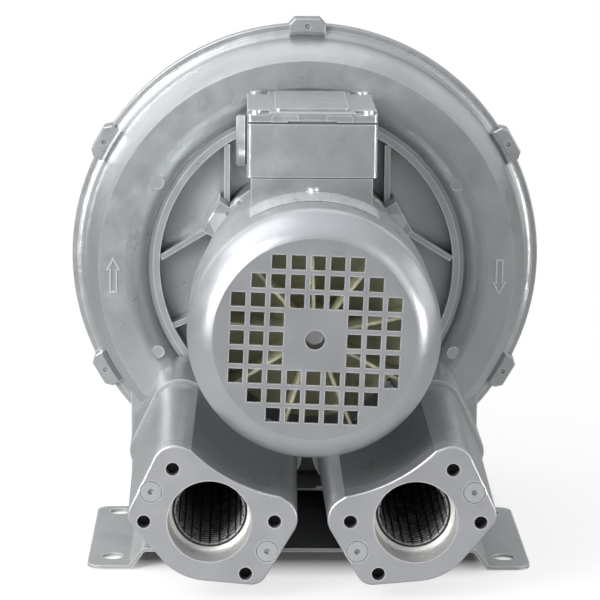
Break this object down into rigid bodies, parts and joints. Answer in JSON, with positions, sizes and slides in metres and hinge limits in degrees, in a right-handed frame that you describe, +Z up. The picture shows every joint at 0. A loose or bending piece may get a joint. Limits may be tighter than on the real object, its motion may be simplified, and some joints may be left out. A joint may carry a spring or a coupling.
{
  "type": "side channel blower",
  "caption": "Side channel blower with a built-on motor: round ring casing, two silencer ports with flanges, fan cowl, terminal box and sheet foot.",
  "frame": {"origin": "centre of the four foot holes, on the floor", "axes": "+Z up, +Y along the shaft from the fan cowl to the blower cover, +X to the outlet port"},
  "size_m": [0.3332, 0.335, 0.3438],
  "materials": {
    "cast_silver": "satin silver paint over a die casting",
    "flange_silver": "satin silver paint on a machined plate",
    "cowl_silver": "satin silver paint on pressed sheet",
    "zinc_steel": "zinc plated",
    "bracket_steel": "satin silver paint on sheet steel",
    "gasket_fibre": "matt",
    "seal_rubber": "matt",
    "black_mesh": "semi-matt woven mesh",
    "grey_foam": "open-cell foam",
    "core_steel": "stacked laminations",
    "copper_wire": "varnished copper",
    "bare_aluminium": "as cast",
    "ground_steel": "ground and polished",
    "brass": "satin",
    "board_plastic": "moulded",
    "fan_plastic": "moulded, cream",
    "plate_foil": "satin foil"
  },
  "bodies": {
    "blower": {"blower_housing": "cast_silver", "housing_cover": "cast_silver", "cover_screws": "zinc_steel", "outlet_flange_plate": "flange_silver", "inlet_flange_plate": "flange_silver", "outlet_flange_gasket": "gasket_fibre", "inlet_flange_gasket": "gasket_fibre", "outlet_flange_screws": "zinc_steel", "inlet_flange_screws": "zinc_steel", "outlet_silencer_mesh": "black_mesh", "inlet_silencer_mesh": "black_mesh", "outlet_silencer_foam": "grey_foam", "inlet_silencer_foam": "grey_foam", "foot_bracket": "bracket_steel", "foot_bracket_screws": "zinc_steel", "motor_frame": "cast_silver", "drive_end_shield": "cast_silver", "motor_flange_screws": "zinc_steel", "fan_end_shield": "cast_silver", "motor_tie_bolts": "zinc_steel", "stator_core": "core_steel", "stator_winding": "copper_wire", "drive_bearing_outer_ring": "ground_steel", "fan_bearing_outer_ring": "ground_steel", "wave_washer": "zinc_steel", "shaft_seal": "seal_rubber", "fan_cowl": "cowl_silver", "cowl_screws": "zinc_steel", "nameplate": "plate_foil", "box_gasket": "gasket_fibre", "terminal_box_base": "cast_silver", "box_screws": "zinc_steel", "terminal_board": "board_plastic", "link_bars": "brass", "terminal_studs": "brass", "earth_screw": "zinc_steel", "lid_gasket": "gasket_fibre", "terminal_box_lid": "cast_silver", "lid_screws": "zinc_steel", "plug_seal": "seal_rubber", "blanking_plug": "cast_silver"},
    "rotor": {"motor_shaft": "ground_steel", "rotor_core": "core_steel", "rotor_cage": "bare_aluminium", "drive_bearing_inner_ring": "ground_steel", "fan_bearing_inner_ring": "ground_steel", "impeller": "bare_aluminium", "impeller_key": "zinc_steel", "impeller_washer": "zinc_steel", "impeller_screw": "zinc_steel", "cooling_fan": "fan_plastic", "fan_clip": "zinc_steel"},
    "drive_bearing_set": {"drive_bearing_balls": "ground_steel", "drive_bearing_cage": "brass"},
    "fan_bearing_set": {"fan_bearing_balls": "ground_steel", "fan_bearing_cage": "brass"}
  },
  "joints": [
    {"name": "rotor_spin", "type": "hinge", "parent": "blower", "child": "rotor", "pos_m": [0, 0, 0.173], "axis": [0, 1, 0], "continuous": true},
    {"name": "drive_bearing_roll", "type": "hinge", "parent": "blower", "child": "drive_bearing_set", "pos_m": [0, 0.0675, 0.173], "axis": [0, 1, 0], "continuous": true},
    {"name": "fan_bearing_roll", "type": "hinge", "parent": "blower", "child": "fan_bearing_set", "pos_m": [0, -0.083, 0.173], "axis": [0, 1, 0], "continuous": true}
  ],
  "couplings": [
    {"joint": "drive_bearing_roll", "follows": "rotor_spin", "ratio": 0.3948},
    {"joint": "fan_bearing_roll", "follows": "rotor_spin", "ratio": 0.3791}
  ]
}
